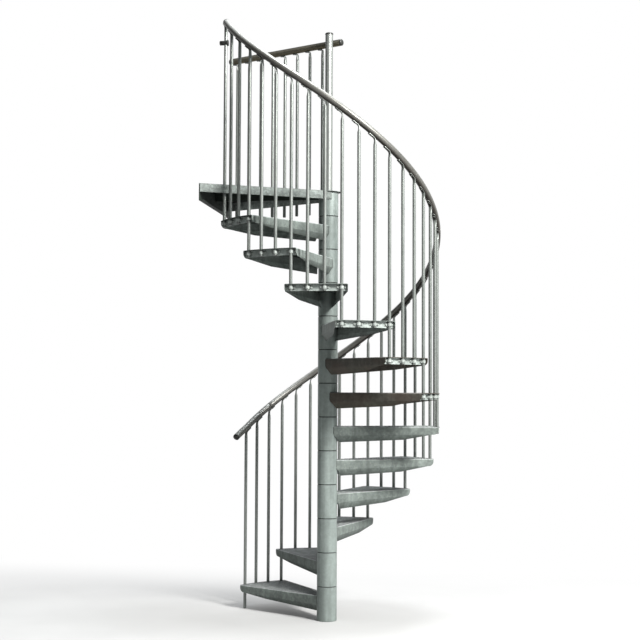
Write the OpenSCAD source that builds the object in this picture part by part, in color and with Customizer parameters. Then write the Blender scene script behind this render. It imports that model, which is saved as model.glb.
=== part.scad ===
// Outdoor spiral staircase in galvanised steel: twelve treads and a wall landing.
// Origin: centre of the column at ground level. +Z is up, and the landing leads out towards -X.
// The stair climbs clockwise seen from above.

/* [Climb] */
// Height from one tread to the next
rise = 210; // [170:1:255]
// Height of the first tread above the ground
first_rise = 154; // [120:1:240]
// Number of treads below the landing
tread_count = 12; // [6:1:12]
// Turn from one tread to the next, in degrees
tread_turn = 25; // [20:0.25:27]
// Step up of the landing beyond one full rise
landing_lift = 6; // [0:1:20]

/* [Column] */
// Outside diameter of the hub sleeves
hub_d = 124; // [110:1:150]
// Wall of the hub sleeves
hub_wall = 5; // [4:0.5:8]
// Height of a sleeve's top edge above its tread
hub_above_tread = 58; // [40:1:80]
// Gap between two sleeves, filled by a spacer disc
groove = 4; // [2:0.5:8]
// How far the groove is set in from the sleeve's face
groove_depth = 3; // [1:0.5:4]
// Diameter of the centre pole, which is the newel post above the landing
pole_d = 48.3; // [42:0.1:60]
// Height of the newel post above the landing, with its cap
newel_h = 1025; // [900:5:1100]
// Thickness of the foot plate
foot_t = 12; // [8:1:20]

/* [Treads] */
// Radius of the tread sheet's outer edge
tread_r = 700; // [580:5:850]
// Thickness of the steel sheet
sheet = 3; // [2:0.5:4]
// Distance of a side flange from the column's axis
side_offset = 45; // [38:1:52]
// Reach of a tread beyond the centre of its end balusters
lap = 36; // [34:1:45]
// Depth of a side flange at its outer corner
tip_depth = 46; // [36:1:50]
// Depth of a side flange down to its fold, at the hub
fold_depth = 60; // [52:1:80]
// Width of the strip that folds inwards under a side flange, at the hub
fold_width = 46; // [38:1:50]
// Width of that strip at its knee, under the upper side
upper_width = 34; // [10:1:36]
// Width of that strip at its knee, under the lower side
lower_width = 21; // [10:1:36]
// Distance of the knee from the outer end of the flange
knee_run = 215; // [120:5:300]
// Distance of the strip's outer end from the outer end of the flange
fold_end = 40; // [35:1:80]
// Angle of that strip to the flange, in degrees
fold_angle = 30; // [15:5:45]
// Depth at which a side flange's inner end starts to slope away from the hub
end_depth = 45; // [30:1:50]
// Height of the strip across the outer end
strip_h = 42; // [30:1:50]

/* [Balusters] */
// Balusters from one tread to the next
per_tread = 3; // [2:1:3]
// Diameter of a baluster
baluster_d = 20; // [16:1:24]
// Steel left outside a baluster's hole in the tread's lip
lip = 4; // [3:0.5:8]
// Length of the flattened tab at a baluster's top
tab_l = 46; // [36:1:60]
// Thickness of that tab
tab_t = 5; // [4:0.5:7]
// Width of that tab
tab_w = 18; // [14:1:20]

/* [Clamps] */
// Length of a saddle clamp
clamp_l = 60; // [50:1:60]
// Height of a saddle clamp
clamp_h = 18; // [12:1:24]
// Depth of a clamp's centre below the sheet's top
clamp_drop = 22; // [18:1:28]

/* [Handrail] */
// Outside diameter of the handrail and the guard rail
rail_d = 42.4; // [38:0.1:51]
// Height of the handrail's centre over the first tread, at the first baluster
rail_h = 1025; // [900:5:1100]
// Turn of the handrail below the first baluster, in degrees
rail_lead = 8.5; // [4:0.5:12]
// Number of baluster spacings in one length of handrail
rail_step = 4; // [3:1:6]
// Seam between two lengths of handrail
seam = 0.6; // [0.3:0.1:0.9]

/* [Landing] */
// Distance of the landing's exit face beyond the treads' outer edge
exit_reach = 34; // [20:1:80]
// Angle of the landing's edges to its centre line, in degrees
landing_angle = 27; // [24:0.5:28]
// Distance of the last stair baluster from the front edge, inside the landing
post_inset = 41; // [25:1:50]
// Depth of the front edge
front_h = 52; // [40:1:70]
// Depth of the back edge
back_h = 57; // [40:1:70]
// Depth of the exit beam
exit_h = 105; // [80:1:140]
// Width of the exit beam's lower flange
exit_flange = 30; // [20:1:50]
// Thickness of the exit beam
exit_t = 4; // [3:0.5:8]
// Depth of the rib under the landing
rib_h = 45; // [30:1:80]
// Outside diameter of the landing's collar round the column
collar_d = 156; // [140:1:180]
// Number of bolt holes in the exit beam
exit_bolts = 4; // [2:1:6]
// Spacing of those holes
exit_bolt_gap = 240; // [150:5:260]
// Diameter of those holes
exit_bolt_d = 14; // [10:1:18]

/* [Guard] */
// Height of the guard rail's centre above the landing
guard_h = 962; // [850:1:1000]
// Number of guard balusters
guard_count = 8; // [5:1:8]
// Room between the column and the clamp of the first guard baluster
guard_clear = 1; // [0.5:0.5:10]
// Distance of the last guard baluster from the outer end of the guard rail
guard_last = 69.2; // [55:0.1:100]
// How far the guard balusters reach below the landing
guard_drop = 128; // [70:1:140]
// Length of the guard rail beyond the newel post
guard_over = 57; // [40:1:80]
// Height of the wall tie above the landing
tie_h = 886; // [600:1:950]
// Reach of the wall tie from its baluster's centre
tie_l = 37; // [25:1:60]
// Diameter of the wall tie
tie_d = 28; // [24:1:34]

/* [Hidden] */
function two_digits(n) = str(n < 10 ? "0" : "", n);
function tread_name(k) = str("tread_", two_digits(k));
function rail_name(i) = str("handrail_", two_digits(i));

step_turn = tread_turn / per_tread;
last = tread_count * per_tread;
rail_count = 1 + ceil((last - 2) / rail_step);

// Clearance between pieces that seat on each other
fit = 0.3;
$fn = 64;
edge_fn = 192;

// Climb
landing_z = first_rise + tread_count * rise + landing_lift;
function tread_z(k) = first_rise + (k - 1) * rise;

// Column
hub_r = hub_d / 2;
function seam_z(k) = tread_z(k) + hub_above_tread;

// Treads and balusters
bore_r = baluster_d / 2 + fit;
baluster_r = tread_r - lip - bore_r;
strip_r = baluster_r - baluster_d / 2 - fit;
weld_r = hub_r + fit;
side_angle = tread_turn / 2 - asin((side_offset - lap) / baluster_r);

// The last baluster stands inside the landing's front edge, and the others follow from it
front_offset = hub_r + fit + sheet;
last_angle = 180 + landing_angle + asin((front_offset - post_inset) / baluster_r);
function baluster_angle(j) = last_angle + (last - j) * step_turn;
function tread_angle(k) = last_angle + (tread_count - k + 0.5) * tread_turn;

// Handrail
rail_slope = rise / tread_turn;
rail_r = rail_d / 2;
rail_end = last * step_turn - 1;
rail_pitch = atan(rail_slope * 180 / PI / baluster_r);
lead_ease = 0.8;
function rail_z(turn) = first_rise + rail_h + rail_slope * (turn < 0 ? lead_ease * turn : turn);

// Landing and guard
exit_x = tread_r + exit_reach;
guard_offset = (pole_d + rail_d) / 2 + fit;
back_offset = guard_offset - baluster_d / 2 - fit;
guard_z = landing_z + guard_h;
function front_y(x) = -(x * tan(landing_angle) + front_offset / cos(landing_angle));
function back_y(x) = x * tan(landing_angle) + back_offset / cos(landing_angle);
guard_end = (exit_x + guard_offset * sin(landing_angle)) / cos(landing_angle);
guard_first = clamp_l / 2 + sqrt(hub_r * hub_r - back_offset * back_offset) + guard_clear;
guard_gap = (guard_end - guard_first - guard_last) / (guard_count - 1);

module zinc() {
    color([0.62, 0.65, 0.63]) children();
}

module dull_zinc() {
    color([0.52, 0.56, 0.54]) children();
}

module bright_zinc() {
    color([0.74, 0.76, 0.75]) children();
}

module tube(d, wall, h) {
    difference() {
        cylinder(d = d, h = h);
        translate([0, 0, -1]) cylinder(d = d - 2 * wall, h = h + 2);
    }
}

// ---- Column ----

module foot_plate() {
    dull_zinc() cylinder(d = hub_d, h = foot_t);
}

module hub_sleeves() {
    zinc() for (k = [1:tread_count]) {
        bottom = k == 1 ? foot_t : seam_z(k - 1) + groove / 2;
        translate([0, 0, bottom]) tube(hub_d, hub_wall, seam_z(k) - groove / 2 - bottom);
    }
}

module hub_spacers() {
    dull_zinc() for (k = [1:tread_count]) {
        translate([0, 0, seam_z(k) - groove / 2]) difference() {
            cylinder(d = hub_d - 2 * groove_depth, h = groove);
            translate([0, 0, -1]) cylinder(d = pole_d + 2 * fit, h = groove + 2);
        }
    }
}

module landing_hub() {
    bottom = seam_z(tread_count) + groove / 2;
    zinc() translate([0, 0, bottom]) tube(hub_d, hub_wall, landing_z - sheet - bottom);
}

cap_t = 8;

module centre_pole() {
    bright_zinc() translate([0, 0, foot_t])
        tube(pole_d, 3.2, landing_z + newel_h - cap_t - foot_t);
}

// A shallow domed cap, as wide as the tube that it closes
module dome_cap(d, t) {
    dome_r = (d * d / 4 + t * t / 4) / t;
    intersection() {
        cylinder(d = d, h = t);
        translate([0, 0, t - dome_r]) sphere(r = dome_r);
    }
}

module pole_cap() {
    dull_zinc() translate([0, 0, landing_z + newel_h - cap_t]) dome_cap(pole_d, cap_t);
}

// ---- Treads ----

// Outline of the tread's sheet, whose sides end inside the thickness of the side flanges
module tread_outline() {
    reach = tread_r + 50;
    near = (side_offset - sheet / 2) / cos(side_angle);
    far = near + reach * tan(side_angle);
    intersection() {
        circle(r = tread_r, $fn = edge_fn);
        polygon([[0, -near], [reach, -far], [reach, far], [0, near]]);
    }
}

// Side flange, measured along it from the point nearest to the axis
hub_run = sqrt(weld_r * weld_r - side_offset * side_offset);
tip_end = sqrt(pow(tread_r - sheet, 2) - side_offset * side_offset);
corner_r = 30;
end_slope = 0.55;
pan_depth = fold_depth + fold_width;
// How far a folded strip starts inside its flange's lower edge
fold_seat = 0.3;

// Depth of a flange's lower edge, which rises evenly from the hub to the outer corner
edge_fall = (fold_depth - tip_depth) / (tip_end - corner_r - hub_run);
function edge_depth(x) = fold_depth - edge_fall * (x - hub_run);

// Inner end of a side flange at a depth. On the upper side it slopes away from the hub, and on the lower
// side it is welded to the hub all the way down.
function end_run(depth, upper) = upper ? hub_run + end_slope * (depth - end_depth) : 0;

// Outline of a side flange: x runs outwards from the hub, y is the height under the sheet
module flange_outline(upper) {
    inner = end_run(fold_depth, upper);
    polygon(concat(
        [[end_run(0, upper), 0], [tip_end, 0]],
        [for (a = [0:15:90]) [tip_end - corner_r * (1 - cos(a)), corner_r - tip_depth - corner_r * sin(a)]],
        [[inner, -edge_depth(inner)]]
    ));
}

// Outline of the strip that folds inwards: x runs along the fold, y runs down from it
module fold_outline(run, upper) {
    knee = upper ? upper_width : lower_width;
    slant = upper ? end_slope * fold_width : 0;
    polygon([[0, 0], [run, 0], [run + fold_end - knee_run, -knee], [slant, -fold_width]]);
}

module side_flange(upper) {
    inner = upper ? end_run(fold_depth, upper) + sheet : 0;
    edge_angle = atan(edge_fall);
    run = (tip_end - fold_end - inner) / cos(edge_angle);
    rotate([0, 0, side_angle]) translate([0, side_offset, 0]) {
        rotate([90, 0, 0]) linear_extrude(sheet) flange_outline(upper);
        translate([inner, -fold_seat, fold_seat - edge_depth(inner)]) rotate([0, -edge_angle, 0])
            rotate([90 - fold_angle, 0, 0]) linear_extrude(sheet) fold_outline(run, upper);
    }
}

module end_strip() {
    translate([0, 0, -strip_h]) intersection() {
        difference() {
            cylinder(r = strip_r, h = strip_h - sheet / 2, $fn = edge_fn);
            translate([0, 0, -1]) cylinder(r = strip_r - sheet, h = strip_h + 1, $fn = edge_fn);
        }
        linear_extrude(strip_h) tread_outline();
    }
}

// One pressed tread, its top face at height 0 and its centre line along +X
module tread_pan() {
    difference() {
        union() {
            translate([0, 0, -sheet]) linear_extrude(sheet) tread_outline();
            end_strip();
            side_flange(false);
            mirror([0, 1, 0]) side_flange(true);
        }
        translate([0, 0, -pan_depth]) cylinder(r = weld_r, h = pan_depth + 1);
        for (i = [0:per_tread]) {
            rotate([0, 0, (i - per_tread / 2) * step_turn]) translate([baluster_r, 0, -sheet - 1])
                cylinder(r = bore_r, h = sheet + 2);
        }
    }
}

module tread(k) {
    zinc() translate([0, 0, tread_z(k)]) rotate([0, 0, tread_angle(k)]) tread_pan();
}

// ---- Balusters ----

// A baluster at the origin, from height bottom up to a rail whose centre is at height top. The rail climbs
// at an angle of pitch towards -X, and the baluster's flattened end lies along its underside.
module baluster(bottom, top, pitch) {
    seat = rail_r + fit;
    translate([0, 0, top]) rotate([0, pitch, 0]) translate([-tab_l + tab_w / 2, -tab_w / 2, -seat - tab_t])
        cube([tab_l, tab_w, tab_t]);
    difference() {
        translate([0, 0, bottom]) cylinder(d = baluster_d, h = top - bottom);
        translate([0, 0, top - (seat + tab_t / 2) / cos(pitch)]) rotate([0, pitch, 0])
            translate([-2 * rail_d, -baluster_d, 0]) cube([4 * rail_d, 2 * baluster_d, 2 * rail_d]);
    }
}

function baluster_bottom(j) = j == 0 ? 0 : tread_z(floor((j - 1) / per_tread) + 1) - strip_h;

module stair_balusters(from, to) {
    zinc() for (j = [from:to]) {
        rotate([0, 0, baluster_angle(j)]) translate([baluster_r, 0, 0]) rotate([0, 0, 90])
            baluster(baluster_bottom(j), rail_z(j * step_turn), rail_pitch);
    }
}

// Saddle clamp round a baluster at the origin, seated on a face that looks along +X
module saddle_clamp() {
    face = -baluster_d / 2;
    wrap_r = bore_r + sheet;
    translate([0, 0, -clamp_h / 2]) linear_extrude(clamp_h) difference() {
        union() {
            intersection() {
                circle(r = wrap_r);
                translate([0, -wrap_r]) square([wrap_r, 2 * wrap_r]);
            }
            translate([face, -wrap_r]) square([-face, 2 * wrap_r]);
            translate([face, -clamp_l / 2]) square([sheet, clamp_l]);
        }
        circle(r = bore_r);
        translate([face - 1, -bore_r]) square([1 - face, 2 * bore_r]);
    }
}

module baluster_clamps() {
    bright_zinc() for (k = [1:tread_count], i = [0:per_tread]) {
        translate([0, 0, tread_z(k) - clamp_drop])
            rotate([0, 0, tread_angle(k) + (i - per_tread / 2) * step_turn])
                translate([baluster_r, 0, 0]) saddle_clamp();
    }
}

// ---- Handrail ----

rail_sides = 16;
ring_turn = 2.5;

// Centre of the rail and the point number s round it, at a given turn from the first baluster
function rail_point(turn, s) =
    let (
        a = baluster_angle(0) - turn,
        ring = s * 360 / rail_sides,
        out = rail_r * cos(ring),
        up = rail_r * sin(ring),
        back = up * sin(rail_pitch),
        r = baluster_r + out
    )
    [
        r * cos(a) - back * sin(a),
        r * sin(a) + back * cos(a),
        rail_z(turn) + up * cos(rail_pitch)
    ];

module rail_length(from, to) {
    rings = ceil((to - from) / ring_turn);
    points = [
        for (i = [0:rings], s = [0:rail_sides - 1]) rail_point(from + (to - from) * i / rings, s)
    ];
    sides = [
        for (i = [0:rings - 1], s = [0:rail_sides - 1])
            let (n = (s + 1) % rail_sides, a = i * rail_sides, b = a + rail_sides)
            [a + s, b + s, b + n, a + n]
    ];
    start_face = [for (s = [0:rail_sides - 1]) s];
    end_face = [for (s = [rail_sides - 1:-1:0]) rings * rail_sides + s];
    polyhedron(points, concat([start_face, end_face], sides));
}

seam_first = 2 * step_turn;
seam_turn = seam * 180 / PI * cos(rail_pitch) / baluster_r;
function rail_from(i) = i == 1 ? -rail_lead : seam_first + (i - 2) * rail_step * step_turn + seam_turn / 2;
function rail_to(i) = i == rail_count ? rail_end : seam_first + (i - 1) * rail_step * step_turn - seam_turn / 2;

module handrail(i) {
    bright_zinc() rail_length(rail_from(i), rail_to(i));
}

module rail_cap_at(turn, way) {
    rotate([0, 0, baluster_angle(0) - turn]) translate([baluster_r, 0, rail_z(turn)])
        rotate([90 * way - rail_pitch, 0, 0]) translate([0, 0, fit]) dome_cap(rail_d, rail_cap_t);
}

rail_cap_t = 16;

module handrail_caps() {
    dull_zinc() {
        rail_cap_at(-rail_lead, -1);
        rail_cap_at(rail_end, 1);
    }
}

// ---- Landing ----

module landing_outline() {
    polygon([
        [front_offset * sin(landing_angle), -front_offset * cos(landing_angle)],
        [-exit_x, front_y(exit_x)],
        [-exit_x, back_y(exit_x)],
        [back_offset * sin(landing_angle), back_offset * cos(landing_angle)]
    ]);
}

module landing_sheet() {
    zinc() translate([0, 0, landing_z - sheet]) difference() {
        union() {
            linear_extrude(sheet) landing_outline();
            cylinder(d = collar_d, h = sheet);
        }
        translate([0, 0, -1]) cylinder(d = pole_d + 2 * fit, h = sheet + 2);
        rotate([0, 0, baluster_angle(last)]) translate([baluster_r, 0, -1]) cylinder(r = bore_r, h = sheet + 2);
    }
}

// Outline of an edge plate along a line that leaves the axis at an angle, from side to side + sheet off it
module edge_outline(angle, side) {
    intersection() {
        rotate(angle) translate([0, side]) square([2 * exit_x, sheet]);
        translate([exit_t - exit_x, -exit_x]) square([2 * exit_x, 2 * exit_x]);
    }
}

module landing_front_edge() {
    bright_zinc() translate([0, 0, landing_z - front_h]) linear_extrude(front_h - sheet)
        edge_outline(180 + landing_angle, front_offset - sheet);
}

module landing_back_edge() {
    zinc() translate([0, 0, landing_z - back_h]) linear_extrude(back_h - sheet) difference() {
        edge_outline(180 - landing_angle, -back_offset);
        circle(r = weld_r);
    }
}

module landing_exit_beam() {
    low_y = front_y(exit_x);
    width = back_y(exit_x) - low_y;
    bottom = landing_z - exit_h;
    zinc() difference() {
        union() {
            translate([-exit_x, low_y, bottom]) cube([exit_t, width, exit_h - sheet]);
            translate([-exit_x, low_y, bottom]) cube([exit_flange, width, exit_t]);
        }
        for (i = [0:exit_bolts - 1]) {
            translate([-exit_x - 1, (i - (exit_bolts - 1) / 2) * exit_bolt_gap, landing_z - exit_h / 2])
                rotate([0, 90, 0]) cylinder(d = exit_bolt_d, h = exit_t + 2);
        }
    }
}

module landing_rib() {
    dull_zinc() translate([exit_t - exit_x, -sheet / 2, landing_z - sheet - rib_h])
        cube([exit_x - exit_t - weld_r, sheet, rib_h]);
}

// ---- Guard behind the newel post ----

// Places children on the guard's line, a distance out from the column
module on_guard(out, z) {
    rotate([0, 0, 180 - landing_angle]) translate([out, -guard_offset, z]) children();
}

module guard_rail() {
    length = guard_end - rail_cap_t + guard_over;
    bright_zinc() on_guard(-guard_over, guard_z) rotate([0, 90, 0]) tube(rail_d, 2.6, length);
}

module guard_rail_caps() {
    dull_zinc() {
        on_guard(-guard_over - fit, guard_z) rotate([0, -90, 0]) dome_cap(rail_d, rail_cap_t);
        on_guard(guard_end - rail_cap_t + fit, guard_z) rotate([0, 90, 0]) dome_cap(rail_d, rail_cap_t - fit);
    }
}

module guard_balusters() {
    zinc() for (i = [0:guard_count - 1]) {
        on_guard(guard_first + i * guard_gap, 0) rotate([0, 0, 180])
            baluster(landing_z - guard_drop, guard_z, 0);
    }
}

module guard_clamps() {
    bright_zinc() for (i = [0:guard_count - 1]) {
        on_guard(guard_first + i * guard_gap, landing_z - back_h / 2) rotate([0, 0, -90]) saddle_clamp();
    }
}

collar_t = 12;

module wall_tie() {
    collar_r = tie_d / 2 + 4;
    dull_zinc() rotate([0, 0, baluster_angle(last)]) translate([baluster_r, 0, landing_z + tie_h])
        rotate([0, 0, -baluster_angle(last)]) difference() {
            union() {
                translate([-tie_l, 0, 0]) rotate([0, 90, 0]) cylinder(d = tie_d, h = tie_l + collar_t);
                translate([baluster_d / 4, 0, 0]) rotate([0, 90, 0]) cylinder(r = collar_r, h = collar_t);
            }
            translate([0, 0, -collar_r - 1]) cylinder(r = bore_r, h = 2 * collar_r + 2);
        }
}

lower_end = floor(last / 3);
middle_end = floor(2 * last / 3);

foot_plate();
hub_sleeves();
hub_spacers();
centre_pole();
pole_cap();
landing_hub();
for (k = [1:tread_count]) {
    tread(k);
}
landing_sheet();
landing_front_edge();
landing_back_edge();
landing_exit_beam();
landing_rib();
stair_balusters(0, lower_end);  // balusters_lower
stair_balusters(lower_end + 1, middle_end);  // balusters_middle
stair_balusters(middle_end + 1, last);  // balusters_upper
baluster_clamps();
for (i = [1:rail_count]) {
    handrail(i);
}
handrail_caps();
guard_rail();
guard_rail_caps();
guard_balusters();
guard_clamps();
wall_tie();
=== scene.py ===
"""Looks of an outdoor galvanised spiral staircase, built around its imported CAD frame.

Lengths are in metres and turns in degrees. +Z is up and the landing leads out towards -X.
A tread's own frame has its centre line along +X and the top of its sheet at height 0.
"""
import math

import bmesh
import bpy
from mathutils import Matrix, Vector, noise
from mathutils.geometry import delaunay_2d_cdt


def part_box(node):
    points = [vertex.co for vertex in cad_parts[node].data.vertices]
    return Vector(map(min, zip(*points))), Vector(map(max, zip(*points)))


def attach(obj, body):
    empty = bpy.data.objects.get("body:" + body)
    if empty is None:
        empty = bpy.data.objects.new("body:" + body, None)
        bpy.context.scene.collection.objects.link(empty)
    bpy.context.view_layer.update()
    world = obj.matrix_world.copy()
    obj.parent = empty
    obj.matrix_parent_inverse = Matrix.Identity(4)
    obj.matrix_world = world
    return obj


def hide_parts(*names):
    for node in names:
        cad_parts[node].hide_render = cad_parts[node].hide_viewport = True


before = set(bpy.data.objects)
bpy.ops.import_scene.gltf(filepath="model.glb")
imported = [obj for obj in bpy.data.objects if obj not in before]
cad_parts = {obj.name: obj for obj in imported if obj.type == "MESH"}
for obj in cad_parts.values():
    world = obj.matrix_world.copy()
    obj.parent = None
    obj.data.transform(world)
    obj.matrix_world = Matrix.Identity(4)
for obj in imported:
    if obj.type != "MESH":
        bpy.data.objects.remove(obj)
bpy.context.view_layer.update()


# ---- Sizes ----

TREAD_NODES = sorted(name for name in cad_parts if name.startswith("tread_"))
RAIL_NODES = sorted(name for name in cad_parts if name.startswith("handrail_") and name[-1].isdigit())
TREADS = len(TREAD_NODES)
TREAD_TOPS = [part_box(name)[1].z for name in TREAD_NODES]
LANDING_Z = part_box("landing_sheet")[1].z
RISE = TREAD_TOPS[1] - TREAD_TOPS[0]
TREAD_TURN = 25.0
PER_TREAD = 3
STEP_TURN = TREAD_TURN / PER_TREAD
LAST = TREADS * PER_TREAD
FIT = 0.0003
SHEET = 0.003
EASE = 0.0012
BEVEL = 0.0007
WELD_BEAD_R = 0.0022
SHARP_ANGLE = 32

HUB_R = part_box("foot_plate")[1].x
HUB_WALL = 0.005
HUB_ABOVE_TREAD = 0.058
GROOVE = 0.004
WELD_R = HUB_R + FIT
POLE_R = 0.02415
NEWEL_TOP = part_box("pole_cap")[1].z

TREAD_R = 0.700
BALUSTER_D = 0.020
BORE_R = BALUSTER_D / 2 + FIT
LIP = 0.004
BALUSTER_R = TREAD_R - LIP - BORE_R
STRIP_R = BALUSTER_R - BALUSTER_D / 2 - FIT
STRIP_H = 0.042
SIDE_OFFSET = 0.045
LAP = 0.036
SIDE_ANGLE = TREAD_TURN / 2 - math.degrees(math.asin((SIDE_OFFSET - LAP) / BALUSTER_R))
TIP_DEPTH = 0.046
FOLD_DEPTH = 0.060
CORNER_R = 0.030
FOLD_WIDTH = 0.046
UPPER_WIDTH = 0.034
LOWER_WIDTH = 0.021
KNEE_RUN = 0.215
FOLD_END = 0.040
FOLD_ANGLE = 30.0
END_DEPTH = 0.045
END_SLOPE = 0.55
HUB_RUN = math.sqrt(WELD_R ** 2 - SIDE_OFFSET ** 2)
TIP_END = math.sqrt((TREAD_R - SHEET) ** 2 - SIDE_OFFSET ** 2)
FOLD_START = HUB_RUN + END_SLOPE * (FOLD_DEPTH - END_DEPTH) + SHEET
NOSING_R = 0.006
# Treads whose sides take darker painted shade and painted brown reflection.
PAINTED_SHADE_TREADS = (7, 8)

TAB_L = 0.046
TAB_T = 0.005
TAB_W = 0.018
TAB_BEND = 0.013
PRESSED_HALF_W = 0.0103
PRESS_RUN = 0.032
PRESS_SHARE = 0.85
CLAMP_L = 0.060
CLAMP_H = 0.018
CLAMP_DROP = 0.022
CLAMP_BOLT_OUT = 0.0215

RAIL_R = 0.0212
RAIL_H = 1.025
RAIL_LEAD = 8.5
RAIL_STEP = 4
SEAM = 0.0012
RAIL_CAP_T = 0.016
RAIL_SECTION_TURN = 1.6
RAIL_SLOPE = RISE / TREAD_TURN
RAIL_PITCH = math.degrees(math.atan(RAIL_SLOPE * 180 / math.pi / BALUSTER_R))
RAIL_END = LAST * STEP_TURN - 1

EXIT_X = -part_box("landing_sheet")[0].x
EXIT_T = 0.004
LANDING_ANGLE = 27.0
POST_INSET = 0.041
FRONT_H = 0.052
BACK_H = 0.057
FRONT_OFFSET = HUB_R + FIT + SHEET
LAST_ANGLE = 180 + LANDING_ANGLE + math.degrees(math.asin((FRONT_OFFSET - POST_INSET) / BALUSTER_R))

GUARD_H = 0.962
GUARD_COUNT = 8
GUARD_CLEAR = 0.001
GUARD_LAST = 0.0692
GUARD_DROP = 0.128
GUARD_OVER = 0.057
GUARD_OFFSET = POLE_R + RAIL_R + FIT
BACK_OFFSET = GUARD_OFFSET - BALUSTER_D / 2 - FIT
GUARD_Z = LANDING_Z + GUARD_H
GUARD_END = EXIT_X + GUARD_OFFSET * math.sin(math.radians(LANDING_ANGLE))
GUARD_END /= math.cos(math.radians(LANDING_ANGLE))
GUARD_FIRST = CLAMP_L / 2 + math.sqrt(HUB_R ** 2 - BACK_OFFSET ** 2) + GUARD_CLEAR
GUARD_GAP = (GUARD_END - GUARD_FIRST - GUARD_LAST) / (GUARD_COUNT - 1)
TIE_H = 0.886
TIE_L = 0.037
TIE_R = 0.014
TIE_COLLAR_T = 0.012
TIE_COLLAR_AT = 0.005
TIE_COLLAR_RISE = 0.004
TIE_SCREW_IN = 0.020


def tread_angle(k):
    """Angle of tread k's centre line, with k from 1."""
    return LAST_ANGLE + (TREADS - k + 0.5) * TREAD_TURN


def baluster_angle(j):
    return LAST_ANGLE + (LAST - j) * STEP_TURN


def rail_z(turn):
    """Height of the handrail's centre at a turn from the first baluster."""
    return TREAD_TOPS[0] + RAIL_H + RAIL_SLOPE * (0.8 * turn if turn < 0 else turn)


# ---- Shapes ----

def turned(degrees, axis="Z"):
    return Matrix.Rotation(math.radians(degrees), 4, axis)


def moved(x, y, z):
    return Matrix.Translation((x, y, z))


class Shape:
    """Points and faces gathered in one frame. Each face carries a material number."""

    def __init__(self):
        self.points = []
        self.faces = []

    def add(self, points, faces, material=0):
        first = len(self.points)
        self.points.extend(Vector(p) for p in points)
        self.faces.extend((tuple(first + n for n in face), material) for face in faces)
        return self

    def put(self, other, place=Matrix()):
        first = len(self.points)
        self.points.extend(place @ p for p in other.points)
        self.faces.extend((tuple(first + n for n in face), m) for face, m in other.faces)
        return self


def ring(radius, height, sides):
    """Points of a level circle round +Z."""
    points = []
    for s in range(sides):
        a = 2 * math.pi * s / sides
        points.append(Vector((radius * math.cos(a), radius * math.sin(a), height)))
    return points


def loft(rings, loop=False, material=0):
    """Skin through rings of equal count. A loop joins the last ring to the first, else the ends close."""
    sides = len(rings[0])
    count = len(rings)
    faces = []
    for i in range(count if loop else count - 1):
        a = i * sides
        b = (i + 1) % count * sides
        for s in range(sides):
            n = (s + 1) % sides
            faces.append((a + s, a + n, b + n, b + s))
    if not loop:
        faces.append(tuple(reversed(range(sides))))
        faces.append(tuple(range((count - 1) * sides, count * sides)))
    return Shape().add([p for points in rings for p in points], faces, material)


def lathe(profile, sides=48, loop=False):
    """Solid of revolution round +Z through (radius, height) pairs."""
    return loft([ring(r, z, sides) for r, z in profile], loop)


def sweep(path, section, up):
    """Sweeps a section of (across, upwards) pairs along a path of points."""
    rings = []
    for i, p in enumerate(path):
        tangent = (path[min(i + 1, len(path) - 1)] - path[max(i - 1, 0)]).normalized()
        across = tangent.cross(up).normalized()
        above = across.cross(tangent)
        rings.append([p + across * u + above * v for u, v in section])
    return loft(rings)


def rounded_box(width, height, bevel, steps=2):
    """Section of a bar: a rectangle with rounded corners, as (across, upwards) pairs."""
    section = []
    for quarter, (sx, sy) in enumerate(((1, 1), (-1, 1), (-1, -1), (1, -1))):
        for step in range(steps + 1):
            a = math.radians(90 * quarter + 90 * step / steps)
            section.append((
                sx * (width / 2 - bevel) + bevel * math.cos(a),
                sy * (height / 2 - bevel) + bevel * math.sin(a),
            ))
    return section


def bar(start, end, width, height):
    """Straight bar between two points, with rounded edges and ends."""
    along = (end - start).normalized()
    full = rounded_box(width, height, BEVEL)
    small = rounded_box(width - 2 * BEVEL, height - 2 * BEVEL, BEVEL)
    across = along.cross(Vector((0, 0, 1))).normalized()
    above = across.cross(along)
    rings = []
    stops = ((start, small), (start + along * BEVEL, full), (end - along * BEVEL, full), (end, small))
    for p, section in stops:
        rings.append([p + across * u + above * v for u, v in section])
    return loft(rings)


def bead(path, radius, up, seed):
    """Weld bead: a low lumpy ripple along a path."""
    rings = []
    for i, p in enumerate(path):
        tangent = (path[min(i + 1, len(path) - 1)] - path[max(i - 1, 0)]).normalized()
        across = tangent.cross(up).normalized()
        above = across.cross(tangent)
        lump = 0.25 * math.sin(2.1 * i) + 0.25 * noise.noise(p * 90 + Vector((seed, 0, 0)))
        r = radius * (1 + lump) * (0.35 if i in (0, len(path) - 1) else 1)
        rings.append([
            p + r * (across * math.cos(a) + above * math.sin(a))
            for a in (2 * math.pi * s / 7 for s in range(7))
        ])
    return loft(rings)


def hex_bolt(radius, height):
    """Hexagon nut on a washer with the end of its bolt, standing on height 0 along +Z."""
    washer = 1.38 * radius
    shape = lathe([(washer, -0.0003), (washer, 0.0009), (0.93 * washer, 0.0013)], 16)
    nut = []
    for r, z in ((0.97, 0.0012), (1.0, 0.0016), (1.0, 0.0012 + 0.8 * height), (0.86, 0.0012 + height)):
        nut.append(ring(radius * r, z, 6))
    shape.put(loft(nut))
    tip = 0.0012 + height
    thread = [(0.5 * radius, tip - 0.001), (0.5 * radius, tip + 0.0012), (0.36 * radius, tip + 0.0018)]
    return shape.put(lathe(thread, 10))


def pan_screw(radius, height):
    """Round-headed screw with a small drive recess, standing on height 0 along +Z."""
    profile = [
        (radius, -0.0004), (radius, 0.25 * height), (0.88 * radius, 0.7 * height),
        (0.55 * radius, height), (0.42 * radius, height), (0.36 * radius, 0.55 * height),
    ]
    return lathe(profile, 14)


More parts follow.
